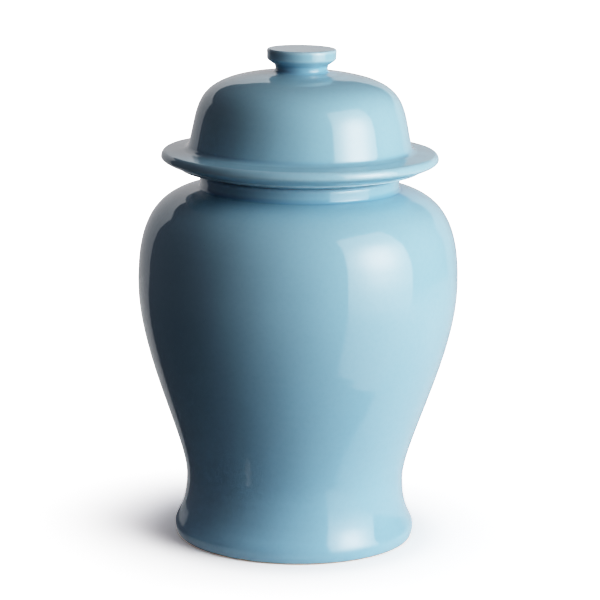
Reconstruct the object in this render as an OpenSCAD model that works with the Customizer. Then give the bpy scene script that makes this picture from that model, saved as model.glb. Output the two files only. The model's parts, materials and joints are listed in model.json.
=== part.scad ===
// Ginger jar with a domed lid, built from the members that are luted together to make it.
// Millimetres, +Z up. The origin is the centre of the foot, on the ground.
// Every member is a body of revolution. The jar and the lid each have one cross-section, whose
// outline is a chain of Bezier curves between a few named diameters and heights, and each
// member is the stretch of that cross-section between two seam planes.

/* [Foot] */
// Outer diameter of the face that touches the ground
contact_d = 190; // [186:1:193]
// Largest diameter of the flared foot
foot_d = 196.8; // [195:0.2:200]
// Height at which the foot is widest
foot_edge_h = 8; // [7:0.5:9]
// Width of the foot ring's contact face
foot_ring_w = 10; // [8:0.5:11]
// Depth of the recess under the floor
recess_h = 5.5; // [5:0.5:6.5]

/* [Body] */
// Diameter of the waist above the foot
waist_d = 178; // [174:1:184]
// Height of the waist
waist_h = 48; // [44:1:52]
// Diameter of the belly
belly_d = 260; // [250:1:270]
// Height of the belly, where the two halves of the body are joined
belly_h = 210.5; // [202:0.5:216]
// Height of the neck's root
shoulder_h = 288; // [284:0.5:294]
// Thickness of the body's wall
wall = 6; // [5:0.5:7]
// Thickness of the floor
floor_t = 7; // [6:0.5:8]

/* [Neck] */
// Outer diameter of the neck
neck_d = 161.4; // [158:0.2:164]
// Height of the neck, from its root to its rim
neck_h = 11; // [9:0.5:14]

/* [Lid] */
// Diameter of the brim
brim_d = 224; // [216:1:230]
// Height of the brim's widest point above the rim
brim_edge_h = 13.5; // [12.5:0.5:14.5]
// Height of the brim's top edge above the rim
brim_h = 18.8; // [18:0.1:20]
// Diameter of the brim's lower lip
bead_d = 195; // [190:1:200]
// Height of the lower lip above the rim
bead_h = 4.5; // [3.5:0.1:5.5]
// Diameter of the flat underside that rests on the rim
seat_d = 158; // [156:1:164]
// Thickness of the brim's shelf inside the dome
shelf_t = 9; // [8:0.5:11]
// Diameter of the dome at its foot
dome_d = 180.2; // [177:0.2:183]
// Height of the dome's top above the rim
dome_h = 82.6; // [80:0.1:86]
// Thickness of the dome's wall
dome_wall = 5.5; // [5:0.5:6.5]
// Length of the locating collar below the brim
collar_h = 14; // [10:0.5:18]
// Radial gap between the collar and the mouth
collar_gap = 2; // [1:0.25:3]

/* [Knob] */
// Height of the stem, from the dome to the cap
stem_h = 5.8; // [3.5:0.1:7]
// Diameter of the stem at its narrowest
stem_d = 42.4; // [38:0.4:43.6]
// Thickness of the knob's cap
cap_t = 12.6; // [11:0.1:15]
// Diameter of the knob's cap
cap_d = 56; // [54:0.2:58]

/* [Hidden] */

// Facets of a full turn, and straight steps along a long curve and a short one
$fn = 144;
long_steps = 14;
short_steps = 5;

// Lengths of the handles that hold each curve's direction at its ends, and its slopes in degrees
contact_round = 2.4;
foot_rise = 7;
waist_below = 28;
waist_above = 31;
belly_below = 59;
belly_above = 29;
shoulder_reach = 45;
shoulder_slope = 7;
seat_reach = 6;
seat_slope = 35;
under_reach = 8;
under_slope = 20;
edge_below = 3;
dome_rise = 34.6;
dome_lean = 14.3;
dome_reach = 64.5;
dome_slope = 5;

// Roundings, and the small steps of the brim and the knob; the rim's is a share of the wall
rim_round = 0.43;
neck_fillet = 2;
mouth_fillet = 3;
bead_w = 1;
brim_edge_r = 3.8;
brim_top_w = 12;
brim_top_rise = 1.2;
dome_fillet = 4.2;
shelf_fillet = 5;
collar_edge_r = 1.8;
stem_flare = 3;
stem_root_h = 2.6;
cap_base_w = 1;
cap_under_w = 4.2;
cap_under_slope = 0.7;
cap_lower_h = 1.2;
cap_edge_r = 1.6;

glaze_blue = [0.56, 0.72, 0.80];
bare_clay = [0.88, 0.85, 0.79];

// Radii and heights that follow from the sizes above
contact_r = contact_d / 2;
foot_r = foot_d / 2;
waist_r = waist_d / 2;
belly_r = belly_d / 2;
neck_r = neck_d / 2;
bore_r = neck_r - wall;
lip_r = rim_round * wall;
floor_r = waist_r - wall;
rim_h = shoulder_h + neck_h;
brim_r = brim_d / 2;
brim_top = rim_h + brim_h;
brim_top_r = brim_r - brim_edge_r;
seat_r = seat_d / 2;
bead_r = bead_d / 2;
bead_base = rim_h + bead_h;
bead_top = bead_base + bead_w;
collar_r = bore_r - collar_gap;
collar_bore_r = collar_r - dome_wall;
dome_r = dome_d / 2;
dome_foot = brim_top + dome_fillet;
dome_top = rim_h + dome_h;
stem_r = stem_d / 2;
stem_foot_r = stem_r + stem_flare;
cap_base = dome_top + stem_h;
cap_base_r = stem_r + cap_base_w;
cap_r = cap_d / 2;
cap_top = cap_base + cap_t;
clear_r = brim_r + belly_r;

// A point of the cubic Bezier curve with control points p, and the curve's direction there
function bezier(p, t) =
    pow(1 - t, 3) * p[0] + 3 * pow(1 - t, 2) * t * p[1] + 3 * (1 - t) * t * t * p[2] + pow(t, 3) * p[3];
function direction(p, t) =
    pow(1 - t, 2) * (p[1] - p[0]) + 2 * (1 - t) * t * (p[2] - p[1]) + t * t * (p[3] - p[2]);

// The curve as points, and the same curve moved to its left by d
function curve(p, steps) = [for (i = [0:steps]) bezier(p, i / steps)];
function inset(p, steps, d) = [
    for (i = [0:steps])
        let (way = direction(p, i / steps))
            bezier(p, i / steps) + d * [-way[1], way[0]] / norm(way)
];

// A quarter-round from a to b: it leaves a along the radius, or upright if upright is true
function quarter(a, b, upright = false) = [
    for (i = [0:short_steps])
        let (u = 90 * i / short_steps, fast = sin(u), slow = 1 - cos(u))
            [
                a[0] + (b[0] - a[0]) * (upright ? slow : fast),
                a[1] + (b[1] - a[1]) * (upright ? fast : slow)
            ]
];

function reversed(list) = [for (i = [len(list) - 1:-1:0]) list[i]];
function polar(length, angle) = length * [cos(angle), sin(angle)];

// Curves of the jar's outline, from the ground up
contact_curve = [
    [contact_r, 0], [contact_r + contact_round, 0],
    [foot_r, foot_edge_h / 2], [foot_r, foot_edge_h]
];
foot_curve = [
    [foot_r, foot_edge_h], [foot_r, foot_edge_h + foot_rise],
    [waist_r, waist_h - waist_below], [waist_r, waist_h]
];
lower_curve = [
    [waist_r, waist_h], [waist_r, waist_h + waist_above],
    [belly_r, belly_h - belly_below], [belly_r, belly_h]
];
shoulder_end = [neck_r + neck_fillet, shoulder_h];
shoulder_curve = [
    [belly_r, belly_h], [belly_r, belly_h + belly_above],
    shoulder_end + polar(shoulder_reach, -shoulder_slope), shoulder_end
];

// Curves of the lid's outline, from the seat up
seat_curve = [
    [seat_r, rim_h], [seat_r, rim_h] + polar(seat_reach, seat_slope),
    [bead_r - seat_reach, bead_base], [bead_r, bead_base]
];
under_curve = [
    [bead_r, bead_top], [bead_r, bead_top] + polar(under_reach, under_slope),
    [brim_r, rim_h + brim_edge_h - edge_below], [brim_r, rim_h + brim_edge_h]
];
dome_foot_curve = [
    [brim_top_r - brim_top_w, brim_top + brim_top_rise],
    [brim_top_r - brim_top_w - dome_fillet / 2, brim_top + brim_top_rise],
    [dome_r, dome_foot] - polar(dome_fillet / 2, 90 + dome_lean),
    [dome_r, dome_foot]
];
dome_curve = [
    [dome_r, dome_foot], [dome_r, dome_foot] + polar(dome_rise, 90 + dome_lean),
    [stem_foot_r, dome_top] + polar(dome_reach, -dome_slope), [stem_foot_r, dome_top]
];

// Cross-section of the jar's wall, from the foot ring to the rim
function jar_section() =
    let (
        shoulder_inside = inset(shoulder_curve, long_steps, wall),
        lower_inside = inset(lower_curve, long_steps, wall),
        mouth_root = [bore_r, shoulder_h - wall + mouth_fillet]
    )
    concat(
        curve(contact_curve, short_steps),
        curve(foot_curve, long_steps),
        curve(lower_curve, long_steps),
        curve(shoulder_curve, long_steps),
        quarter(shoulder_end, [neck_r, shoulder_h + neck_fillet]),
        quarter([neck_r, rim_h - lip_r], [neck_r - lip_r, rim_h], upright = true),
        quarter([bore_r + lip_r, rim_h], [bore_r, rim_h - lip_r]),
        reversed(quarter(shoulder_inside[long_steps], mouth_root)),
        reversed(shoulder_inside),
        reversed(lower_inside),
        [
            [floor_r, recess_h],
            [contact_r - foot_ring_w, recess_h],
            [contact_r - foot_ring_w, 0]
        ]
    );

// Cross-section of the lid's brim and dome, from the seat to the foot of the knob
function lid_section() =
    let (
        dome_inside = inset(dome_curve, long_steps, dome_wall),
        shelf_top = rim_h + shelf_t,
        foot_inside = dome_inside[0]
    )
    concat(
        curve(seat_curve, short_steps),
        curve(under_curve, short_steps),
        quarter([brim_r, rim_h + brim_edge_h], [brim_top_r, brim_top], upright = true),
        curve(dome_foot_curve, short_steps),
        curve(dome_curve, long_steps),
        [[0, dome_top], [0, dome_top - dome_wall]],
        reversed(dome_inside),
        quarter(foot_inside - [0, foot_inside[1] - shelf_top - shelf_fillet],
            [foot_inside[0] - shelf_fillet, shelf_top], upright = true),
        [[collar_bore_r, shelf_top], [collar_bore_r, rim_h]]
    );

// The member of a cross-section that lies between the seam planes at low and high
module member(section, low, high) {
    rotate_extrude()
        intersection() {
            polygon(section);
            translate([0, low])
                square([clear_r, high - low]);
        }
}

// Ring that the jar stands on
module foot_ring() {
    color(glaze_blue)
        member(jar_section(), 0, recess_h);
}

// Floor of the jar, held by its edge inside the wall
module base_disc() {
    color(bare_clay)
        translate([0, 0, recess_h])
            cylinder(h = floor_t, r = floor_r);
}

// Flared foot, up to the waist
module foot_flare() {
    color(glaze_blue)
        member(jar_section(), recess_h, waist_h);
}

// Lower half of the body, from the waist to the belly
module lower_wall() {
    color(glaze_blue)
        member(jar_section(), waist_h, belly_h);
}

// Upper half of the body, from the belly to the neck's root
module upper_wall() {
    color(glaze_blue)
        member(jar_section(), belly_h, shoulder_h);
}

// Upright neck with the rounded rim that carries the lid
module neck() {
    color(glaze_blue)
        member(jar_section(), shoulder_h, rim_h);
}

// Brim with its flat seat and the shelf inside the dome
module lid_brim() {
    color(glaze_blue)
        member(lid_section(), rim_h, dome_foot);
}

// Hollow dome
module lid_dome() {
    color(glaze_blue)
        member(lid_section(), dome_foot, dome_top);
}

// Ring under the brim that keeps the lid centred in the mouth
module lid_collar() {
    color(bare_clay)
        rotate_extrude()
            polygon(concat(
                [[collar_bore_r, rim_h]],
                quarter([collar_bore_r, rim_h - collar_h + collar_edge_r],
                    [collar_bore_r + collar_edge_r, rim_h - collar_h], upright = true),
                quarter([collar_r - collar_edge_r, rim_h - collar_h],
                    [collar_r, rim_h - collar_h + collar_edge_r]),
                [[collar_r, rim_h]]
            ));
}

// Waisted stem that carries the cap
module knob_stem() {
    waist = [stem_r, dome_top + stem_root_h];
    corner = [stem_r, cap_base - cap_under_slope * cap_base_w];
    color(glaze_blue)
        rotate_extrude()
            polygon(concat(
                [[0, dome_top]],
                quarter([stem_foot_r, dome_top], waist),
                curve([waist, corner, corner, [cap_base_r, cap_base]], short_steps),
                [[0, cap_base]]
            ));
}

// Flat-topped cap with a bevelled underside
module knob_cap() {
    under = [cap_base_r, cap_base] + cap_under_w * [1, cap_under_slope];
    corner = [cap_r, cap_base + cap_under_slope * (cap_r - cap_base_r)];
    color(glaze_blue)
        rotate_extrude()
            polygon(concat(
                [[0, cap_base], [cap_base_r, cap_base]],
                curve([under, corner, corner, corner + [0, cap_lower_h]], short_steps),
                quarter([cap_r, cap_top - cap_edge_r], [cap_r - cap_edge_r, cap_top], upright = true),
                [[0, cap_top]]
            ));
}

foot_ring();
base_disc();
foot_flare();
lower_wall();
upper_wall();
neck();
lid_brim();
lid_dome();
lid_collar();
knob_stem();
knob_cap();
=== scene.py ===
"""Looks of the ginger jar: a glazed skin on each clay member, a plain studio and the camera.

The jar and the lid each have one closed section, a path of (radius, height) points in millimetres
with the clay on its left. The path is turned round the axis into a grid of points, which gets the
slight unevenness of thrown clay, and each member takes its own rows of that grid. Normals come
from the whole grid, so the glaze runs on over the seams between members.
"""

import json
import math
from collections import namedtuple

import bpy
import numpy as np
from mathutils import Matrix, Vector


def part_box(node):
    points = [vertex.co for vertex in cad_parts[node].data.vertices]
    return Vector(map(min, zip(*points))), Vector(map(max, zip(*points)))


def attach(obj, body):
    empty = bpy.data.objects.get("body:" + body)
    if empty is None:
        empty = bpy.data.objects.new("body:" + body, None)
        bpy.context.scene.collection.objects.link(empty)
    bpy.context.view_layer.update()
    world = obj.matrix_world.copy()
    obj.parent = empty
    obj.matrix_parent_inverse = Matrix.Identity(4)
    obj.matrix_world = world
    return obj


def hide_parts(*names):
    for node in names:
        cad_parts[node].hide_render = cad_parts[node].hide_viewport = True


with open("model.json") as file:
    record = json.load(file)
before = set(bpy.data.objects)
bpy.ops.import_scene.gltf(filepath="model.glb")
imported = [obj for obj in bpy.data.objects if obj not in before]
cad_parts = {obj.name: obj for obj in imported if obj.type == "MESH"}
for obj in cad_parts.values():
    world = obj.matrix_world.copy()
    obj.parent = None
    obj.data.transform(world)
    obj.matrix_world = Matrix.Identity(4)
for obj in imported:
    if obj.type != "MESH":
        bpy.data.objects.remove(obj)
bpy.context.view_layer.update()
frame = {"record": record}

MM = 0.001

# ---- Sizes, in millimetres -------------------------------------------------------------------


def low(node):
    """Height of a CAD node's lowest point."""
    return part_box(node)[0].z / MM


def high(node):
    """Height of a CAD node's highest point."""
    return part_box(node)[1].z / MM


def reach(node):
    """Outer radius of a CAD node."""
    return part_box(node)[1].x / MM


# Clay thickness
WALL = 6.0
DOME_WALL = 5.5

# Foot
RECESS_H = high("foot_ring")
FLOOR_H = high("base_disc")
FLOOR_R = reach("base_disc")
FLOOR_FILLET = 6.0
CONTACT_R = 95.0
FOOT_INNER_R = CONTACT_R - 10.0
FOOT_R = reach("foot_flare")
FOOT_EDGE_H = 8.0
RING_FILLET = 1.4
RING_ROUND = 1.0
BARE_FOOT_H = 1.1
BARE_INSIDE_H = 2.2

# Body and neck
WAIST_R = FLOOR_R + WALL
WAIST_H = high("foot_flare")
BELLY_R = reach("lower_wall")
BELLY_H = high("lower_wall")
SHOULDER_R = reach("neck")
SHOULDER_H = low("neck")
NECK_FILLET = 2.0
NECK_R = SHOULDER_R - NECK_FILLET
BORE_R = NECK_R - WALL
RIM_H = high("neck")
RIM_ROUND = 2.6
MOUTH_FILLET = 3.0

# Lid
SEAT_R = 79.0
LIP_R = 97.5
LIP_H = RIM_H + 4.5
LIP_EDGE_H = LIP_H + 1.0
LIP_ROUND = 0.5
BRIM_R = reach("lid_brim")
BRIM_EDGE_H = RIM_H + 13.5
BRIM_TOP_H = RIM_H + 18.8
BRIM_ROUND = 3.8
BRIM_SLOPE_W = 12.0
BRIM_SLOPE_H = 1.2
SHELF_H = RIM_H + 9.0
SHELF_FILLET = 5.0
SHELF_ROUND = 1.2
COLLAR_R = reach("lid_collar")
COLLAR_BORE_R = COLLAR_R - DOME_WALL
COLLAR_LOW_H = low("lid_collar")
COLLAR_ROUND = 1.8
COLLAR_FILLET = 1.0
DOME_R = reach("lid_dome")
DOME_FOOT_H = high("lid_brim")
DOME_TOP_H = high("lid_dome")

# Knob
STEM_FOOT_R = reach("knob_stem")
STEM_R = STEM_FOOT_R - 3.0
STEM_WAIST_H = DOME_TOP_H + 2.6
CAP_LOW_H = high("knob_stem")
CAP_LOW_R = STEM_R + 1.0
CAP_R = reach("knob_cap")
CAP_TOP_H = high("knob_cap")
CAP_ROUND = 1.6
CAP_UNDER_SLOPE = 0.7
CAP_BEVEL_W = 4.2
CAP_BEVEL_TOP = 1.2

# How far the handle of each curve reaches from its end, and the slope in degrees of those that lean
CONTACT_REACH = 2.4
FOOT_REACH_BELOW = FOOT_EDGE_H / 2
FOOT_REACH_ABOVE = 7.0
WAIST_REACH_BELOW = 28.0
WAIST_REACH_ABOVE = 31.0
BELLY_REACH_BELOW = 59.0
BELLY_REACH_ABOVE = 29.0
SHOULDER_REACH = 45.0
SHOULDER_SLOPE = -7.0
SEAT_REACH = 6.0
SEAT_SLOPE = 35.0
LIP_REACH_BELOW = 6.0
LIP_REACH_ABOVE = 8.0
LIP_SLOPE = 20.0
BRIM_REACH = 3.0
DOME_FILLET_REACH = 2.1
DOME_FOOT_REACH = 34.6
DOME_FOOT_SLOPE = 104.3
DOME_TOP_REACH = 64.5
DOME_TOP_SLOPE = -5.0

# ---- Paths -----------------------------------------------------------------------------------

CURVE_POINTS = 90
ARC_POINTS = 16


def point(radius, height):
    """A point of a section."""
    return np.array([radius, height], float)


def polar(length, degrees):
    """A vector of a section, from its length and its angle above the outward radius."""
    return length * np.array([math.cos(math.radians(degrees)), math.sin(math.radians(degrees))])


def line(*corners):
    """Straight lines from corner to corner."""
    return np.array(corners, float)


def arc(start, corner, end):
    """A quarter-round from start to end, inside the corner where its end directions meet."""
    turn = np.linspace(0, math.pi / 2, ARC_POINTS)[:, None]
    start, corner, end = (np.array(p, float) for p in (start, corner, end))
    return corner + (start - corner) * (1 - np.sin(turn)) + (end - corner) * (1 - np.cos(turn))


def bezier(start, leave, arrive, end):
    """A cubic Bezier curve; leave and arrive are its handles."""
    t = np.linspace(0, 1, CURVE_POINTS)[:, None]
    return (1 - t) ** 3 * start + 3 * (1 - t) ** 2 * t * leave + 3 * (1 - t) * t**2 * arrive + t**3 * end


def inside(curve, depth):
    """The curve moved into the clay by that depth, and run backwards."""
    along = np.gradient(curve, axis=0)
    along /= np.linalg.norm(along, axis=1)[:, None]
    return (curve + depth * np.stack([-along[:, 1], along[:, 0]], axis=1))[::-1]


def split(curve, height):
    """The two parts of a curve that crosses a seam plane once, both with the point on the plane."""
    side = curve[:, 1] > height
    after = int(np.argmax(side != side[0]))
    a, b = curve[after - 1], curve[after]
    on_plane = a + (b - a) * (height - a[1]) / (b[1] - a[1])
    return np.vstack([curve[:after], on_plane]), np.vstack([on_plane, curve[after:]])


# Directions of a section
OUT = point(1, 0)
IN = -OUT
UP = point(0, 1)
DOWN = -UP


def rounding(corner, size, arriving, leaving):
    """The quarter-round of a square corner that a path reaches one way and leaves another."""
    return arc(corner - size * arriving, corner, corner + size * leaving)


# ---- Sections --------------------------------------------------------------------------------

# One stretch of a section: whose it is, its points, whether it is glazed, and how uneven it is
Stretch = namedtuple("Stretch", "member points glazed relief")

GLAZED = True
BARE = False

TRUE = 0.0
TURNED = 1.0
THROWN = 3.0

CONTACT = point(CONTACT_R, 0)
FOOT_EDGE = point(FOOT_R, FOOT_EDGE_H)
WAIST = point(WAIST_R, WAIST_H)
BELLY = point(BELLY_R, BELLY_H)
SHOULDER = point(SHOULDER_R, SHOULDER_H)
DOME_FOOT = point(DOME_R, DOME_FOOT_H)
DOME_TOP = point(STEM_FOOT_R, DOME_TOP_H)


def lower_curve():
    """The lower wall's outside, from the waist to the belly."""
    return bezier(WAIST, WAIST + WAIST_REACH_ABOVE * UP, BELLY + BELLY_REACH_BELOW * DOWN, BELLY)


def upper_curve():
    """The upper wall's outside, from the belly to the neck."""
    arrive = SHOULDER + polar(SHOULDER_REACH, SHOULDER_SLOPE)
    return bezier(BELLY, BELLY + BELLY_REACH_ABOVE * UP, arrive, SHOULDER)


def dome_curve():
    """The dome's outside, from the brim to the knob."""
    leave = DOME_FOOT + polar(DOME_FOOT_REACH, DOME_FOOT_SLOPE)
    arrive = DOME_TOP + polar(DOME_TOP_REACH, DOME_TOP_SLOPE)
    return bezier(DOME_FOOT, leave, arrive, DOME_TOP)


def foot():
    """From the middle of the jar's underside, round the foot ring to the foot's widest point."""
    seam = point(FLOOR_R, RECESS_H)
    root = rounding(point(FOOT_INNER_R, RECESS_H), RING_FILLET, OUT, DOWN)
    glaze_end = point(FOOT_INNER_R, BARE_INSIDE_H)
    edge = rounding(point(FOOT_INNER_R, 0), RING_ROUND, DOWN, OUT)
    side = bezier(CONTACT, CONTACT + CONTACT_REACH * OUT, FOOT_EDGE + FOOT_REACH_BELOW * DOWN, FOOT_EDGE)
    bare_side, glazed_side = split(side, BARE_FOOT_H)
    ring_side, flare_side = split(glazed_side, RECESS_H)
    return [
        Stretch("base_disc", line((0, RECESS_H), seam), GLAZED, TURNED),
        Stretch("foot_flare", line(seam, root[0]), GLAZED, TURNED),
        Stretch("foot_ring", root, GLAZED, TURNED),
        Stretch("foot_ring", line(root[-1], glaze_end), GLAZED, TURNED),
        Stretch("foot_ring", line(glaze_end, edge[0]), BARE, TRUE),
        Stretch("foot_ring", edge, BARE, TRUE),
        Stretch("foot_ring", line(edge[-1], CONTACT), BARE, TRUE),
        Stretch("foot_ring", bare_side, BARE, TRUE),
        Stretch("foot_ring", ring_side, GLAZED, TURNED),
        Stretch("foot_flare", flare_side, GLAZED, TURNED),
    ]


def jar_outside():
    """From the foot's widest point up the body and the neck, and over the rim."""
    flare = bezier(FOOT_EDGE, FOOT_EDGE + FOOT_REACH_ABOVE * UP, WAIST + WAIST_REACH_BELOW * DOWN, WAIST)
    neck_root = rounding(point(NECK_R, SHOULDER_H), NECK_FILLET, IN, UP)
    outer_rim = rounding(point(NECK_R, RIM_H), RIM_ROUND, UP, IN)
    inner_rim = rounding(point(BORE_R, RIM_H), RIM_ROUND, IN, DOWN)
    return [
        Stretch("foot_flare", flare, GLAZED, TURNED),
        Stretch("lower_wall", lower_curve(), GLAZED, TURNED),
        Stretch("upper_wall", upper_curve(), GLAZED, TURNED),
        Stretch("neck", neck_root, GLAZED, TURNED),
        Stretch("neck", line(neck_root[-1], outer_rim[0]), GLAZED, TURNED),
        Stretch("neck", outer_rim, GLAZED, TRUE),
        Stretch("neck", line(outer_rim[-1], inner_rim[0]), BARE, TRUE),
        Stretch("neck", inner_rim, BARE, TRUE),
    ]


def jar_inside():
    """From the rim down the bore and the walls to the middle of the floor."""
    rim_end = point(BORE_R, RIM_H - RIM_ROUND)
    seam = point(BORE_R, SHOULDER_H)
    bore_end = point(BORE_R, SHOULDER_H - WALL + MOUTH_FILLET)
    upper = inside(upper_curve(), WALL)
    lower = inside(lower_curve(), WALL)
    mouth = arc(bore_end, (BORE_R, upper[0][1]), upper[0])
    floor_edge = rounding(point(FLOOR_R, FLOOR_H), FLOOR_FILLET, DOWN, IN)
    return [
        Stretch("neck", line(rim_end, seam), GLAZED, TURNED),
        Stretch("upper_wall", line(seam, bore_end), GLAZED, TURNED),
        Stretch("upper_wall", mouth, GLAZED, THROWN),
        Stretch("upper_wall", upper, GLAZED, THROWN),
        Stretch("lower_wall", lower, GLAZED, THROWN),
        Stretch("foot_flare", line(lower[-1], floor_edge[0]), GLAZED, THROWN),
        Stretch("base_disc", floor_edge, GLAZED, THROWN),
        Stretch("base_disc", line(floor_edge[-1], (0, FLOOR_H)), GLAZED, THROWN),
    ]


def lid_inside():
    """From the middle of the dome's inside down to the shelf and into the collar's bore."""
    dome, brim_hollow = split(inside(dome_curve(), DOME_WALL), DOME_FOOT_H)
    shelf_root = rounding(point(brim_hollow[-1][0], SHELF_H), SHELF_FILLET, DOWN, IN)
    shelf_edge = rounding(point(COLLAR_BORE_R, SHELF_H), SHELF_ROUND, IN, DOWN)
    return [
        Stretch("lid_dome", line((0, dome[0][1]), dome[0]), GLAZED, THROWN),
        Stretch("lid_dome", dome, GLAZED, THROWN),
        Stretch("lid_brim", np.vstack([brim_hollow, shelf_root[0]]), GLAZED, THROWN),
        Stretch("lid_brim", shelf_root, GLAZED, THROWN),
        Stretch("lid_brim", line(shelf_root[-1], shelf_edge[0]), GLAZED, TURNED),
        Stretch("lid_brim", shelf_edge, GLAZED, TURNED),
        Stretch("lid_brim", line(shelf_edge[-1], (COLLAR_BORE_R, RIM_H)), GLAZED, TURNED),
    ]


def collar():
    """From the collar's bore round its lower edge and up to the seat."""
    inner_edge = rounding(point(COLLAR_BORE_R, COLLAR_LOW_H), COLLAR_ROUND, DOWN, OUT)
    outer_edge = rounding(point(COLLAR_R, COLLAR_LOW_H), COLLAR_ROUND, OUT, UP)
    root = rounding(point(COLLAR_R, RIM_H), COLLAR_FILLET, UP, OUT)
    return [
        Stretch("lid_collar", line((COLLAR_BORE_R, RIM_H), inner_edge[0]), BARE, TURNED),
        Stretch("lid_collar", inner_edge, BARE, TRUE),
        Stretch("lid_collar", line(inner_edge[-1], outer_edge[0]), BARE, TRUE),
        Stretch("lid_collar", outer_edge, BARE, TRUE),
        Stretch("lid_collar", line(outer_edge[-1], root[0]), BARE, TRUE),
        Stretch("lid_collar", root, BARE, TRUE),
    ]


def brim():
    """From the seat out under the brim, round its edge and in to the dome's foot."""
    seat_start = point(COLLAR_R + COLLAR_FILLET, RIM_H)
    seat_end = point(SEAT_R, RIM_H)
    lip = rounding(point(LIP_R, LIP_H), LIP_ROUND, OUT, UP)
    lip_top = point(LIP_R, LIP_EDGE_H)
    edge = point(BRIM_R, BRIM_EDGE_H)
    top = point(BRIM_R - BRIM_ROUND, BRIM_TOP_H)
    slope_end = top + BRIM_SLOPE_W * IN + BRIM_SLOPE_H * UP
    fillet_arrive = DOME_FOOT - polar(DOME_FILLET_REACH, DOME_FOOT_SLOPE)
    below = bezier(seat_end, seat_end + polar(SEAT_REACH, SEAT_SLOPE), lip[0] + LIP_REACH_BELOW * IN, lip[0])
    flank = bezier(lip_top, lip_top + polar(LIP_REACH_ABOVE, LIP_SLOPE), edge + BRIM_REACH * DOWN, edge)
    fillet = bezier(slope_end, slope_end + DOME_FILLET_REACH * IN, fillet_arrive, DOME_FOOT)
    return [
        Stretch("lid_brim", line(seat_start, seat_end), BARE, TRUE),
        Stretch("lid_brim", below, GLAZED, TRUE),
        Stretch("lid_brim", lip, GLAZED, TRUE),
        Stretch("lid_brim", line(lip[-1], lip_top), GLAZED, TRUE),
        Stretch("lid_brim", flank, GLAZED, TURNED),
        Stretch("lid_brim", arc(edge, (BRIM_R, BRIM_TOP_H), top), GLAZED, TURNED),
        Stretch("lid_brim", line(top, slope_end), GLAZED, TURNED),
        Stretch("lid_brim", fillet, GLAZED, TURNED),
    ]


def knob():
    """From the dome's top up the stem, out under the cap and over it to its middle."""
    under = point(1, CAP_UNDER_SLOPE)
    stem_waist = point(STEM_R, STEM_WAIST_H)
    cap_low = point(CAP_LOW_R, CAP_LOW_H)
    stem_corner = cap_low - (CAP_LOW_R - STEM_R) * under
    bevel_end = cap_low + CAP_BEVEL_W * under
    cap_corner = cap_low + (CAP_R - CAP_LOW_R) * under
    cap_side = cap_corner + CAP_BEVEL_TOP * UP
    cap_top = rounding(point(CAP_R, CAP_TOP_H), CAP_ROUND, UP, IN)
    return [
        Stretch("knob_stem", arc(DOME_TOP, (STEM_R, DOME_TOP_H), stem_waist), GLAZED, TURNED),
        Stretch("knob_stem", arc(stem_waist, stem_corner, cap_low), GLAZED, TURNED),
        Stretch("knob_cap", line(cap_low, bevel_end), GLAZED, TURNED),
        Stretch("knob_cap", arc(bevel_end, cap_corner, cap_side), GLAZED, TURNED),
        Stretch("knob_cap", line(cap_side, cap_top[0]), GLAZED, TURNED),
        Stretch("knob_cap", cap_top, GLAZED, TRUE),
        Stretch("knob_cap", line(cap_top[-1], (0, CAP_TOP_H)), GLAZED, TRUE),
    ]


def jar_section():
    """The jar, from the middle of its underside, up its outside and down its inside."""
    return foot() + jar_outside() + jar_inside()


def lid_section():
    """The lid, from the middle of its inside, down round the collar and the brim, up to the knob."""
    dome = Stretch("lid_dome", dome_curve(), GLAZED, TURNED)
    return lid_inside() + collar() + brim() + [dome] + knob()


# ---- From a path to rows ---------------------------------------------------------------------

DENSE_STEP = 0.25
ROW_STEP = 2.2
ROW_TURN = math.radians(14)
BEND_BLUR = 1.2
RELIEF_BLUR = 4.0
TINY = 1e-6

# The rows of a section: arrays with one entry a row, and members[i] for the band from row i to i + 1
Rows = namedtuple("Rows", "radius height length out members glaze bend relief")


def dense(points):
    """The same path with points about DENSE_STEP apart."""
    steps = np.linalg.norm(np.diff(points, axis=0), axis=1)
    length = np.concatenate([[0], np.cumsum(steps)])
    even = np.linspace(0, length[-1], max(3, int(length[-1] / DENSE_STEP)))
    marks = np.unique(np.concatenate([length, even]))
    marks = marks[np.concatenate([[True], np.diff(marks) > TINY])]
    return np.stack([np.interp(marks, length, points[:, i]) for i in (0, 1)], axis=1)


def row_marks(points):
    """Where along a dense path its rows go: closer together where the path turns."""
    step = np.diff(points, axis=0)
    length = np.linalg.norm(step, axis=1)
    heading = np.unwrap(np.arctan2(step[:, 1], step[:, 0]))
    turn = np.abs(np.diff(heading, prepend=heading[0]))
    cost = np.concatenate([[0], np.cumsum(length / ROW_STEP + turn / ROW_TURN)])
    total = np.concatenate([[0], np.cumsum(length)])
    return np.interp(np.linspace(0, cost[-1], max(2, math.ceil(cost[-1]) + 1)), cost, total), total


def blurred(length, values, width):
    """Values along a path, averaged with a bell of that width."""
    away = (length[:, None] - length[None, :]) / width
    weight = np.exp(-0.5 * away**2) * np.gradient(length)[None, :]
    return weight @ values / weight.sum(axis=1)


def bands_of(section):
    """A section's rows as points, and the stretch that each band between two rows belongs to."""
    points, owners = [], []
    for stretch in section:
        fine = dense(stretch.points)
        marks, total = row_marks(fine)
        placed = np.stack([np.interp(marks, total, fine[:, i]) for i in (0, 1)], axis=1)
        points += list(placed[1:] if points else placed)
        owners += [stretch] * (len(marks) - 1)
    return np.array(points), owners


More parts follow.
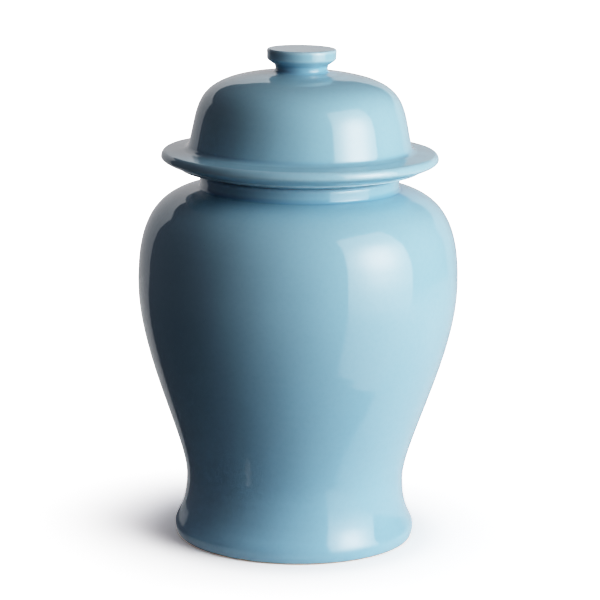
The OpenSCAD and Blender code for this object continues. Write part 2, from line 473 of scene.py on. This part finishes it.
def rows_of(section):
    """The rows of a whole section."""
    points, owners = bands_of(section)
    glazed = np.array([stretch.glazed for stretch in owners])
    relief = np.array([stretch.relief for stretch in owners])
    length = np.concatenate([[0], np.cumsum(np.linalg.norm(np.diff(points, axis=0), axis=1))])
    along = np.gradient(points, length, axis=0)
    along /= np.linalg.norm(along, axis=1)[:, None]
    heading = np.unwrap(np.arctan2(along[:, 1], along[:, 0]))
    middle = (length[1:] + length[:-1]) / 2
    glaze_ends = length[1:-1][glazed[1:] != glazed[:-1]]
    away = np.min(np.abs(length[:, None] - glaze_ends[None, :]), axis=1)
    is_glazed = glazed[np.clip(np.searchsorted(length[1:], length), 0, len(glazed) - 1)]
    roughened = blurred(length, np.interp(length, middle, relief), RELIEF_BLUR)
    held_true = np.array([TRUE in relief[max(i - 1, 0) : i + 1] for i in range(len(length))])
    return Rows(
        radius=points[:, 0],
        height=points[:, 1],
        length=length,
        out=np.stack([along[:, 1], -along[:, 0]], axis=1),
        members=[stretch.member for stretch in owners],
        glaze=np.where(is_glazed, away, -away),
        bend=blurred(length, np.gradient(heading, length), BEND_BLUR),
        relief=np.where(held_true, 0, roughened),
    )


# ---- From rows to a grid ---------------------------------------------------------------------

COLUMNS = 192
ANGLES = np.arange(COLUMNS) * 2 * math.pi / COLUMNS

# Unevenness, in millimetres. A drift is how much wall a pattern takes to shift by one radian: the
# least and the most, between which each pattern draws its own.

# Slow waves: how many go round the wall, and how deep they are
WAVES = ((1, 0.05), (2, 0.07), (3, 0.03), (5, 0.012))
WAVE_DRIFT = (60, 120)

# Throwing rings: how far apart and how deep they are, and by what share they swell and fade
RINGS = ((7.5, 0.008), (11.0, 0.012), (17.0, 0.016))
RING_SWELL = 0.6
RING_SWELL_DRIFT = (25, 60)

# Soft bumps: how many patterns are added up, how many bumps each has round the wall, and their depth
BUMP_COUNT = 14
BUMP_WAVES = (4, 22)
BUMP_DRIFT = (8, 20)
BUMP_DEPTH = 0.06

# From this radius in to the axis, the unevenness fades out
CALM_R = 20.0

Grid = namedtuple("Grid", "points normals rows")


def wander(length, random):
    """How far a thrown wall is out of true, in millimetres: slow waves round it that drift along it."""
    depth = np.zeros((len(length), COLUMNS))
    for waves, size in WAVES:
        phase = random.uniform(0, 2 * math.pi) + length[:, None] / random.uniform(*WAVE_DRIFT)
        depth += size * np.cos(waves * ANGLES[None, :] + phase)
    return depth


def throwing_rings(length, random):
    """The shallow spiral that fingers or a rib leave, in millimetres."""
    depth = np.zeros((len(length), COLUMNS))
    for period, size in RINGS:
        phase = random.uniform(0, 2 * math.pi)
        swell = 1 + RING_SWELL * np.sin(length / random.uniform(*RING_SWELL_DRIFT) + phase)
        turn = 2 * math.pi * length[:, None] / period
        depth += size * swell[:, None] * np.sin(turn + ANGLES[None, :] + phase)
    return depth


def soft_bumps(radius, length, random):
    """Faint dents and swellings a few centimetres across, in millimetres."""
    depth = np.zeros((len(length), COLUMNS))
    for _ in range(BUMP_COUNT):
        waves = int(random.integers(*BUMP_WAVES))
        drift = random.uniform(-1, 1) / random.uniform(*BUMP_DRIFT)
        phase = random.uniform(0, 2 * math.pi)
        depth += np.cos(waves * ANGLES[None, :] + drift * length[:, None] + phase)
    fade = np.clip(radius / np.max(radius), 0, 1)
    return BUMP_DEPTH / math.sqrt(BUMP_COUNT) * fade[:, None] * depth


def turned_grid(rows, seed):
    """The section turned round the axis, with the clay's unevenness, and its normals."""
    random = np.random.default_rng(seed)
    depth = wander(rows.length, random) + throwing_rings(rows.length, random)
    depth += soft_bumps(rows.radius, rows.length, random)
    near_axis = np.clip(rows.radius / CALM_R, 0, 1) ** 2
    depth = (depth - depth.max()) * (rows.relief * near_axis)[:, None]
    radius = rows.radius[:, None] + depth * rows.out[:, :1]
    height = rows.height[:, None] + depth * rows.out[:, 1:]
    points = np.stack([radius * np.cos(ANGLES), radius * np.sin(ANGLES), height], axis=2)
    round_it = np.roll(points, -1, axis=1) - np.roll(points, 1, axis=1)
    along_it = np.gradient(points, rows.length, axis=0)
    normals = np.cross(round_it, along_it)
    on_axis = rows.radius < TINY
    normals[on_axis] = [0, 0, 1]
    normals[on_axis] *= rows.out[on_axis, 1][:, None, None]
    normals /= np.linalg.norm(normals, axis=2)[:, :, None]
    return Grid(points, normals, rows)


# ---- From a grid to the members' meshes ------------------------------------------------------

SEAM_SLACK = 1e-3


def corners_on(ring, normals, column, next_column):
    """A face's corners on a ring, with their normals: one corner where the ring is one point."""
    if len(ring) == 1:
        return [(ring[0], normals[column])]
    return [(ring[column], normals[column]), (ring[next_column], normals[next_column])]


class MemberMesh:
    """Gathers one member's rings of points and the bands of faces between them."""

    def __init__(self, grid):
        self.grid = grid
        self.points, self.glaze, self.bend = [], [], []
        self.faces, self.normals = [], []

    def add_ring(self, points, glaze=0.0, bend=0.0):
        """Adds points and returns their numbers."""
        start = len(self.points)
        self.points += [tuple(p * MM) for p in points]
        self.glaze += [glaze] * len(points)
        self.bend += [bend] * len(points)
        return np.arange(start, start + len(points))

    def add_row(self, row):
        """Adds a row of the grid, as one point if it lies on the axis."""
        rows = self.grid.rows
        points = self.grid.points[row] if rows.radius[row] > TINY else self.grid.points[row][:1]
        return self.add_ring(points, rows.glaze[row], rows.bend[row])

    def add_band(self, first, second, first_normals, second_normals):
        """Adds the faces between two rings, either of which may be one point."""
        for i in range(COLUMNS):
            j = (i + 1) % COLUMNS
            corners = corners_on(first, first_normals, i, j)
            corners += corners_on(second, second_normals, i, j)[::-1]
            self.faces.append([number for number, _ in corners])
            self.normals += [normal for _, normal in corners]

    def add_butt(self, first, second, run):
        """Adds a flat butt face between two rings. run is the way from first to second in the section."""
        out = np.array([run[1], -run[0]]) / np.hypot(*run)
        flat = np.stack([out[0] * np.cos(ANGLES), out[0] * np.sin(ANGLES), np.full(COLUMNS, out[1])], axis=1)
        self.add_band(first, second, flat, flat)

    def make(self, name):
        """The mesh object."""
        mesh = bpy.data.meshes.new(name)
        mesh.from_pydata(self.points, [], self.faces)
        mesh.polygons.foreach_set("use_smooth", [True] * len(mesh.polygons))
        mesh.normals_split_custom_set(self.normals)
        for title, values in (("glaze_line", self.glaze), ("bend", self.bend)):
            mesh.attributes.new(title, "FLOAT", "POINT").data.foreach_set("value", values)
        made = bpy.data.objects.new(name, mesh)
        bpy.context.scene.collection.objects.link(made)
        return made


def runs_of(rows, member):
    """The member's unbroken runs of rows, each as its first and last row."""
    runs = []
    for band, owner in enumerate(rows.members):
        if owner != member:
            continue
        if runs and runs[-1][1] == band:
            runs[-1][1] = band + 1
        else:
            runs.append([band, band + 1])
    return runs


def build_member(grid, member, name):
    """One member as a closed mesh: its runs of the glazed skin, joined by flat butt faces."""
    rows = grid.rows
    mesh = MemberMesh(grid)
    ends = []
    for first, last in runs_of(rows, member):
        rings = [mesh.add_row(row) for row in range(first, last + 1)]
        for step in range(len(rings) - 1):
            row = first + step
            mesh.add_band(rings[step], rings[step + 1], grid.normals[row], grid.normals[row + 1])
        ends.append((rings[0], rings[-1], first, last))
    for (_, ring, _, last), (next_ring, _, first, _) in zip(ends, ends[1:] + ends[:1]):
        close_seam(mesh, ring, next_ring, last, first)
    return mesh.make(name)


def close_seam(mesh, ring, next_ring, last, first):
    """Closes a member from the end of one run to the start of the next: straight across a ring of
    clay, or level to the axis and back where the member is solid there."""
    rows = mesh.grid.rows
    here = point(rows.radius[last], rows.height[last])
    there = point(rows.radius[first], rows.height[first])
    across = there - here
    if np.min(np.abs(across)) < SEAM_SLACK and min(here[0], there[0]) > TINY:
        mesh.add_butt(ring, next_ring, across)
        return
    if here[0] > TINY:
        pole = mesh.add_ring([np.array([0, 0, here[1]])])
        mesh.add_butt(ring, pole, point(-here[0], 0))
    if there[0] > TINY:
        pole = mesh.add_ring([np.array([0, 0, there[1]])])
        mesh.add_butt(pole, next_ring, point(there[0], 0))


# ---- Materials -------------------------------------------------------------------------------

GLAZE_LOW = (0.272, 0.505, 0.680, 1)
GLAZE_HIGH = (0.290, 0.500, 0.615, 1)
GLAZE_LIGHT = (0.310, 0.530, 0.670, 1)
GLAZE_DEEP = (0.190, 0.380, 0.530, 1)
GLAZE_THIN = (0.450, 0.640, 0.745, 1)
SPECK = (0.090, 0.120, 0.130, 1)
CLAY = (0.640, 0.585, 0.500, 1)
CLAY_DARK = (0.470, 0.405, 0.330, 1)
CLAY_TOASTED = (0.520, 0.350, 0.220, 1)

# How large the patterns' lumps are, in millimetres
CLOUDS = 120
MOTTLE = 3.5
SMEARS = 35
RIPPLE = 9
THIN_PATCHES = 5
LINE_WAVES = 14
TOASTED_PATCHES = 30
GRAIN = 0.6
GRAIN_ROUGHNESS = 0.7

# Pits: how far apart their cells are and how large they are, in millimetres
PINHOLE_SPACING = 9.0
PINHOLE_R = 0.35
GROG_SPACING = 2.5
GROG_R = 0.5

# Depths of the relief, in millimetres
RIPPLE_DEPTH = 0.035
PINHOLE_DEPTH = 0.08
GRAIN_DEPTH = 0.12
GLAZE_DEPTH = 0.12
BARE_GRAIN_DEPTH = 0.15
GROG_RELIEF = 0.10

# The glaze's end, in millimetres: how far it wanders in all, how soft it is, and its rolled edge
LINE_WANDER = 1.6
LINE_BLUR = 0.15
ROLL_START = 0.2
ROLL_WIDTH = 2.2

# Where the clay beside the glaze's end is toasted, in millimetres from that end
TOASTED_EDGE = (-2.5, -0.2)

# The height in metres where the glaze has wholly taken its upper colour
GLAZE_HIGH_Z = 0.40

# From what bend of the section a look begins and where it is full, in radians a millimetre: positive
# on edges and negative in hollows
THIN_BEND = (0.06, 0.55)
POOL_BEND = (-0.04, -0.40)
WORN_BEND = (0.1, 0.6)

# How far each look covers the colour under it where it is full
CLOUD_SHARE = 0.4
MOTTLE_SHARE = 0.10
POOL_SHARE = 0.75
ROLL_SHARE = 0.5
PINHOLE_SHARE = 0.55
TOASTED_EDGE_SHARE = 0.6
TOASTED_SHARE = 0.45
GROG_SHARE = 0.7
WORN_SHARE = 0.35

# Roughness, from the least to the most
GLAZE_ROUGHNESS = (0.030, 0.055)
CLAY_ROUGHNESS = (0.70, 0.85)
BARE_ROUGHNESS = (0.68, 0.86)
PINHOLE_ROUGHNESS = 0.3

GLAZE_IOR = 1.52
CLAY_IOR = 1.5


class Nodes:
    """Short ways to add the nodes of one material, light or world."""

    def __init__(self, owner):
        owner.use_nodes = True
        self.owner = owner
        self.tree = owner.node_tree
        self.tree.nodes.clear()

    def add(self, kind, inputs, **settings):
        """Adds a node. An input is a value, or another node's output to link."""
        node = self.tree.nodes.new(kind)
        for name, value in settings.items():
            setattr(node, name, value)
        for name, value in inputs.items():
            if isinstance(value, bpy.types.NodeSocket):
                self.tree.links.new(value, node.inputs[name])
            else:
                node.inputs[name].default_value = value
        return node

    def place(self):
        """The point in the part's own frame, in metres."""
        return self.add("ShaderNodeTexCoord", {}).outputs["Object"]

    def way(self):
        """The direction that a point of the world lies in."""
        return self.add("ShaderNodeTexCoord", {}).outputs["Generated"]

    def attribute(self, name):
        """A value stored on the mesh's points."""
        return self.add("ShaderNodeAttribute", {}, attribute_name=name).outputs["Fac"]

    def noise(self, size, detail=2.0, roughness=0.5):
        """Noise between 0 and 1 whose lumps are about that many millimetres across."""
        inputs = {"Vector": self.place(), "Scale": 1 / (size * MM), "Detail": detail, "Roughness": roughness}
        return self.add("ShaderNodeTexNoise", inputs).outputs["Fac"]

    def math(self, operation, a, b=0.0):
        """Arithmetic on two values."""
        return self.add("ShaderNodeMath", {0: a, 1: b}, operation=operation).outputs[0]

    def ramp(self, value, start, end, low=0.0, high=1.0):
        """Goes smoothly from low to high as value goes from start to end."""
        inputs = {"Value": value, "From Min": start, "From Max": end, "To Min": low, "To Max": high}
        return self.add("ShaderNodeMapRange", inputs, interpolation_type="SMOOTHSTEP").outputs["Result"]

    def mix(self, share, a, b):
        """Colour a where share is 0 and b where it is 1."""
        factor_socket, a_socket, b_socket, result_socket = 0, 6, 7, 2
        inputs = {factor_socket: share, a_socket: a, b_socket: b}
        return self.add("ShaderNodeMix", inputs, data_type="RGBA").outputs[result_socket]

    def bump(self, height, depth, under=None):
        """Bump from a height between 0 and 1 that stands for that many millimetres of depth."""
        inputs = {"Height": height, "Strength": 1.0, "Distance": depth * MM}
        if under is not None:
            inputs["Normal"] = under
        return self.add("ShaderNodeBump", inputs).outputs["Normal"]

    def finish(self, colour, roughness, normal, ior):
        """Ends the material in a Principled shader."""
        inputs = {"Base Color": colour, "Roughness": roughness, "Normal": normal, "IOR": ior}
        shader = self.add("ShaderNodeBsdfPrincipled", inputs)
        self.add("ShaderNodeOutputMaterial", {"Surface": shader.outputs[0]})
        return self.owner


def pits(nodes, spacing, radius):
    """1 in the middle of small round pits, 0 between them: most cells have none."""
    inputs = {"Vector": nodes.place(), "Scale": 1 / (spacing * MM)}
    cells = nodes.add("ShaderNodeTexVoronoi", inputs)
    lot = nodes.add("ShaderNodeSeparateColor", {"Color": cells.outputs["Color"]}).outputs[0]
    edge = radius / spacing
    chosen = nodes.ramp(lot, 0.78, 0.80)
    near = nodes.ramp(cells.outputs["Distance"], edge, 0.3 * edge)
    return nodes.math("MULTIPLY", chosen, near)


def glaze_colour(nodes, bend, roll, pinholes):
    """The glaze's colour: clouded and mottled, thin on edges, deep in hollows and at its end."""
    height = nodes.add("ShaderNodeSeparateXYZ", {0: nodes.place()}).outputs["Z"]
    clouds = nodes.noise(CLOUDS, detail=3)
    mottle = nodes.noise(MOTTLE, detail=3)
    edge = nodes.ramp(bend, *THIN_BEND)
    pool = nodes.ramp(bend, *POOL_BEND)
    thin = nodes.ramp(nodes.noise(THIN_PATCHES), 0.2, 0.8, low=0.35, high=0.85)
    glaze = nodes.mix(nodes.ramp(height, 0.0, GLAZE_HIGH_Z), GLAZE_LOW, GLAZE_HIGH)
    glaze = nodes.mix(nodes.ramp(clouds, 0.3, 0.7, high=CLOUD_SHARE), glaze, GLAZE_LIGHT)
    glaze = nodes.mix(nodes.ramp(mottle, 0.35, 0.75, high=MOTTLE_SHARE), glaze, GLAZE_DEEP)
    glaze = nodes.mix(nodes.math("MULTIPLY", pool, POOL_SHARE), glaze, GLAZE_DEEP)
    glaze = nodes.mix(nodes.math("MULTIPLY", roll, ROLL_SHARE), glaze, GLAZE_DEEP)
    glaze = nodes.mix(nodes.math("MULTIPLY", edge, thin), glaze, GLAZE_THIN)
    return nodes.mix(nodes.math("MULTIPLY", pinholes, PINHOLE_SHARE), glaze, SPECK)


def stoneware(nodes, grain):
    """The fired clay's colour."""
    return nodes.mix(nodes.ramp(grain, 0.35, 0.7), CLAY_DARK, CLAY)


def glazed_clay(name, peel):
    """Glossy glaze over clay, with bare clay past the glaze line. peel scales the glaze's ripple."""
    nodes = Nodes(bpy.data.materials.new(name))
    wavy = nodes.math("SUBTRACT", nodes.noise(LINE_WAVES), 0.5)
    wander_mm = nodes.math("MULTIPLY", wavy, LINE_WANDER)
    line_mm = nodes.math("ADD", nodes.attribute("glaze_line"), wander_mm)
    cover = nodes.ramp(line_mm, -LINE_BLUR, LINE_BLUR)
    bare = nodes.math("SUBTRACT", 1.0, cover)
    roll = nodes.math("MULTIPLY", nodes.ramp(line_mm, ROLL_WIDTH, ROLL_START), cover)
    pinholes = pits(nodes, PINHOLE_SPACING, PINHOLE_R)
    grain = nodes.noise(GRAIN, detail=6, roughness=GRAIN_ROUGHNESS)

    glaze = glaze_colour(nodes, nodes.attribute("bend"), roll, pinholes)
    toasted = nodes.ramp(line_mm, *TOASTED_EDGE, high=TOASTED_EDGE_SHARE)
    clay = nodes.mix(toasted, stoneware(nodes, grain), CLAY_TOASTED)

    smears = nodes.ramp(nodes.noise(SMEARS, detail=4), 0.35, 0.75, *GLAZE_ROUGHNESS)
    gloss = nodes.math("ADD", smears, nodes.math("MULTIPLY", pinholes, PINHOLE_ROUGHNESS))
    dull = nodes.ramp(grain, 0.2, 0.8, *CLAY_ROUGHNESS)
    roughness = nodes.math("ADD", nodes.math("MULTIPLY", gloss, cover), nodes.math("MULTIPLY", dull, bare))

    normal = nodes.bump(nodes.noise(RIPPLE, detail=2), RIPPLE_DEPTH * peel)
    normal = nodes.bump(pinholes, -PINHOLE_DEPTH, normal)
    normal = nodes.bump(nodes.math("MULTIPLY", grain, bare), GRAIN_DEPTH, normal)
    normal = nodes.bump(nodes.math("ADD", cover, roll), GLAZE_DEPTH, normal)
    return nodes.finish(nodes.mix(cover, clay, glaze), roughness, normal, GLAZE_IOR)


def bare_clay(name):
    """Unglazed stoneware with dark grog in it and toasted patches, paler on its worn edges."""
    nodes = Nodes(bpy.data.materials.new(name))
    grain = nodes.noise(GRAIN, detail=6, roughness=GRAIN_ROUGHNESS)
    grog = pits(nodes, GROG_SPACING, GROG_R)
    toasted = nodes.ramp(nodes.noise(TOASTED_PATCHES, detail=3), 0.4, 0.8, high=TOASTED_SHARE)
    worn = nodes.ramp(nodes.attribute("bend"), *WORN_BEND, high=WORN_SHARE)
    clay = nodes.mix(toasted, stoneware(nodes, grain), CLAY_TOASTED)
    clay = nodes.mix(nodes.math("MULTIPLY", grog, GROG_SHARE), clay, SPECK)
    clay = nodes.mix(worn, clay, CLAY)
    roughness = nodes.ramp(grain, 0.2, 0.8, *BARE_ROUGHNESS)
    normal = nodes.bump(grain, BARE_GRAIN_DEPTH)
    normal = nodes.bump(grog, GROG_RELIEF, normal)
    return nodes.finish(clay, roughness, normal, CLAY_IOR)


# ---- The object ------------------------------------------------------------------------------

JAR_SEED = 11
LID_SEED = 29


def build_object():
    """Every member as a piece of its own, on its body, in the place of its CAD node."""
    glaze = glazed_clay("glaze", peel=1.0)
    inner = glazed_clay("inside_glaze", peel=1.8)
    clay = bare_clay("bare_clay")
    materials = {"glaze": glaze, "inside_glaze": inner, "bare_clay": clay}
    slots = {part["node"]: part["material_slot"] for part in frame["record"]["subparts"]}
    for body, section, seed in (("jar", jar_section(), JAR_SEED), ("lid", lid_section(), LID_SEED)):
        grid = turned_grid(rows_of(section), seed)
        for member in dict.fromkeys(grid.rows.members):
            piece = build_member(grid, member, member + "_skin")
            piece.data.materials.append(materials[slots[member]])
            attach(piece, body)
            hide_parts(member)


# ---- Studio ----------------------------------------------------------------------------------


def panel_light(name, centre, turn, size):
    """An upright soft panel that the camera doesn't see. At turn 0 it shines along +Y, and at 90
    along -X. The radiance comes from the nodes that are returned, with the panel's own
    coordinates: metres from its middle, across and up."""
    width, height = size
    data = bpy.data.lights.new(name, "AREA")
    data.shape = "RECTANGLE"
    data.size, data.size_y = size
    data.energy = math.pi * width * height
    lamp = bpy.data.objects.new(name, data)
    lamp.matrix_world = (
        Matrix.Translation(centre)
        @ Matrix.Rotation(math.radians(turn), 4, "Z")
        @ Matrix.Rotation(math.pi / 2, 4, "X")
    )
    lamp.visible_camera = False
    bpy.context.scene.collection.objects.link(lamp)
    nodes = Nodes(data)
    place = nodes.add("ShaderNodeNewGeometry", {}).outputs["Parametric"]
    sides = nodes.add("ShaderNodeSeparateXYZ", {0: place})
    across = nodes.math("MULTIPLY", nodes.math("SUBTRACT", sides.outputs[0], 0.5), width)
    up = nodes.math("MULTIPLY", nodes.math("SUBTRACT", sides.outputs[1], 0.5), height)
    return nodes, across, up


def bell(nodes, square, spread):
    """1 in the middle, falling off smoothly over that many metres. square is the distance squared."""
    return nodes.math("EXPONENT", nodes.math("DIVIDE", square, -2 * spread**2))


def shine(nodes, radiance):
    """Ends a light's nodes."""
    emission = nodes.add("ShaderNodeEmission", {"Strength": radiance}).outputs[0]
    nodes.add("ShaderNodeOutputLight", {"Surface": emission})


def softbox():
    """The key light: a tall softbox to the right of the camera, brightest round its lamp."""
    azimuth, distance = 59.7, 1.2
    bottom, top, width = -0.88, 1.70, 1.14
    lamp_height, lamp_spread, lamp_radiance = 0.61, 0.25, 15.0
    cloth_low, cloth_high, cloth_blur = 1.75, 3.85, 0.25
    angle = math.radians(azimuth)
    middle = (bottom + top) / 2
    centre = (distance * math.sin(angle), -distance * math.cos(angle), middle)
    nodes, across, up = panel_light("softbox", centre, azimuth, (width, top - bottom))
    rise = nodes.math("SUBTRACT", up, lamp_height - middle)
    square = nodes.math("ADD", nodes.math("POWER", across, 2.0), nodes.math("POWER", rise, 2.0))
    lamp = bell(nodes, square, lamp_spread)
    cloth = nodes.ramp(up, -cloth_blur - middle, cloth_blur - middle, low=cloth_low, high=cloth_high)
    shine(nodes, nodes.math("ADD", cloth, nodes.math("MULTIPLY", lamp, lamp_radiance)))


def backdrop():
    """A lit wall behind the jar, brighter towards its top edge, which slopes down to the right and
    has a hump behind the knob."""
    away, left, right, top = 1.0, -1.235, 1.15, 1.1
    edge_height, edge_slope, edge_blur = 0.77, 0.12, 0.01
    hump_height, hump_spread, hump_across = 0.20, 0.14, 0.06
    foot_radiance, radiance_rise = 0.62, 0.9
    centre = ((left + right) / 2, away, top / 2)
    nodes, across, up = panel_light("backdrop", centre, 180, (right - left, top))
    height = nodes.math("ADD", up, top / 2)
    edge = nodes.math("ADD", nodes.math("MULTIPLY", across, edge_slope), edge_height)
    from_hump = nodes.math("POWER", nodes.math("SUBTRACT", across, hump_across), 2.0)
    hump = nodes.math("MULTIPLY", bell(nodes, from_hump, hump_spread), hump_height)
    edge = nodes.math("ADD", edge, hump)
    below = nodes.ramp(nodes.math("SUBTRACT", edge, height), -edge_blur, edge_blur)
    rise = nodes.math("MULTIPLY", nodes.math("POWER", height, 2.0), radiance_rise)
    shine(nodes, nodes.math("MULTIPLY", nodes.math("ADD", rise, foot_radiance), below))


def white_world():
    """White to the camera and a dim fill to everything else, weaker from below."""
    white, white_strength = (1, 1, 1, 1), 6.0
    rose, fill_below, fill_above = (1, 0.87, 0.92, 1), 0.10, 0.17
    world = bpy.data.worlds.new("studio")
    bpy.context.scene.world = world
    nodes = Nodes(world)
    seen = nodes.add("ShaderNodeBackground", {"Color": white, "Strength": white_strength}).outputs[0]
    rise = nodes.add("ShaderNodeSeparateXYZ", {0: nodes.way()}).outputs["Z"]
    strength = nodes.ramp(rise, -0.50, -0.10, low=fill_below, high=fill_above)
    fill = nodes.add("ShaderNodeBackground", {"Color": rose, "Strength": strength}).outputs[0]
    by_camera = nodes.add("ShaderNodeLightPath", {}).outputs["Is Camera Ray"]
    shown = nodes.add("ShaderNodeMixShader", {0: by_camera, 1: fill, 2: seen}).outputs[0]
    nodes.add("ShaderNodeOutputWorld", {"Surface": shown})


def sheet_of(name, corners, material):
    """A flat stage piece."""
    mesh = bpy.data.meshes.new(name)
    mesh.from_pydata(corners, [], [list(range(len(corners)))])
    mesh.materials.append(material)
    made = bpy.data.objects.new(name, mesh)
    bpy.context.scene.collection.objects.link(made)
    return made


def table():
    """The lit table top, as the jar sees it: it ends just in front of the jar and to its left. Its
    reflection glows a little, so that it isn't black in the jar's shadow."""
    front, back, left, right = -0.13, 1.0, -1.27, 1.5
    near_x, near_y, turn_x, turn_y = -0.105, 0.084, -0.18, 0.13
    below, mirrored_glow = -0.0004, 0.35
    white = (0.8, 0.8, 0.8, 1)
    nodes = Nodes(bpy.data.materials.new("table"))
    paper = nodes.add("ShaderNodeBsdfDiffuse", {"Color": white}).outputs[0]
    in_gloss = nodes.add("ShaderNodeLightPath", {}).outputs["Is Glossy Ray"]
    in_mirror = nodes.math("MULTIPLY", in_gloss, mirrored_glow)
    glow = nodes.add("ShaderNodeEmission", {"Strength": in_mirror}).outputs[0]
    lit = nodes.add("ShaderNodeAddShader", {0: paper, 1: glow}).outputs[0]
    nodes.add("ShaderNodeOutputMaterial", {"Surface": lit})
    corners = [
        (near_x, front, below),
        (right, front, below),
        (right, back, below),
        (left, back, below),
        (turn_x, turn_y, below),
        (near_x, near_y, below),
    ]
    sheet_of("table", corners, nodes.owner).visible_camera = False


def pale_floor():
    """The floor as the camera sees it: overexposed white, glowing more and more away from the foot. Near the
    foot it takes the jar's cast shadow, deepened by a painted contact shadow: its colour is darker there and
    its glow weaker.
    """
    radius, around = 6.0, 96
    painted_shadow_start, painted_shadow_end = 0.095, 0.14
    glow_start, glow_end = 0.10, 0.30
    angles = [2 * math.pi * i / around for i in range(around)]
    nodes = Nodes(bpy.data.materials.new("floor"))
    distance = nodes.add("ShaderNodeVectorMath", {0: nodes.place()}, operation="LENGTH").outputs["Value"]
    # Painted shadow: the floor's colour is darker right round the foot, a painted contact shadow on top of
    # the cast one.
    white = nodes.ramp(distance, painted_shadow_start, painted_shadow_end, low=1.5, high=2.4)
    paper = nodes.add("ShaderNodeBsdfDiffuse", {"Color": white}).outputs[0]
    # Painted light: the floor glows, faintly at the foot and fully white further out, which hides the jar's
    # shadow except near the foot.
    glow = nodes.ramp(distance, glow_start, glow_end, low=0.1, high=6.0)
    light = nodes.add("ShaderNodeEmission", {"Strength": glow}).outputs[0]
    shown = nodes.add("ShaderNodeAddShader", {0: paper, 1: light}).outputs[0]
    nodes.add("ShaderNodeOutputMaterial", {"Surface": shown})
    rim = [(radius * math.cos(a), radius * math.sin(a), 0) for a in angles]
    floor = sheet_of("floor", rim, nodes.owner)
    floor.visible_glossy = False
    floor.visible_diffuse = False
    floor.visible_shadow = False


# How scene light becomes picture tone: a film-like curve, contrasty in the shade and soft in the light
TONE_CONTRAST = 1.484
TONE_SHOULDER = 0.692
TONE_TOP = 1.073
TONE_WHITE = 4.55
TONE_POINTS = 16

# The curve of a curve mapping that works on all the channels
COMBINED = 3


def tone(light):
    """The picture's linear tone for that much scene light."""
    bent = light**TONE_CONTRAST / TONE_SHOULDER
    return min(1.0, TONE_TOP * bent / (1 + bent))


def develop():
    """Sets the tone curve, with most of its points in the dark end."""
    view = bpy.context.scene.view_settings
    view.view_transform = "Standard"
    view.use_curve_mapping = True
    mapping = view.curve_mapping
    mapping.white_level = (TONE_WHITE,) * 3
    curve = mapping.curves[COMBINED]
    curve.points[0].location = (0, 0)
    curve.points[1].location = (1, tone(TONE_WHITE))
    for i in range(1, TONE_POINTS):
        share = (i / TONE_POINTS) ** 2
        curve.points.new(share, tone(share * TONE_WHITE))
    mapping.update()


SENSOR_MM = 36.0
LENS_MM = 157.4
CAMERA_PLACE = (0, -2.090, 0.640)
CAMERA_PITCH = math.radians(12.03)
CAMERA_ROLL = math.radians(0.95)
CAMERA_PAN = math.radians(-0.051)


def place_camera():
    """A long lens a little above the lid, with the photograph's slight tilt."""
    data = bpy.data.cameras.new("camera")
    data.sensor_width = SENSOR_MM
    data.lens = LENS_MM
    camera = bpy.data.objects.new("camera", data)
    bpy.context.scene.collection.objects.link(camera)
    camera.matrix_world = (
        Matrix.Translation(CAMERA_PLACE)
        @ Matrix.Rotation(CAMERA_PAN, 4, "Z")
        @ Matrix.Rotation(math.pi / 2 - CAMERA_PITCH, 4, "X")
        @ Matrix.Rotation(CAMERA_ROLL, 4, "Z")
    )
    bpy.context.scene.camera = camera


build_object()
softbox()
backdrop()
white_world()
table()
pale_floor()
place_camera()
develop()
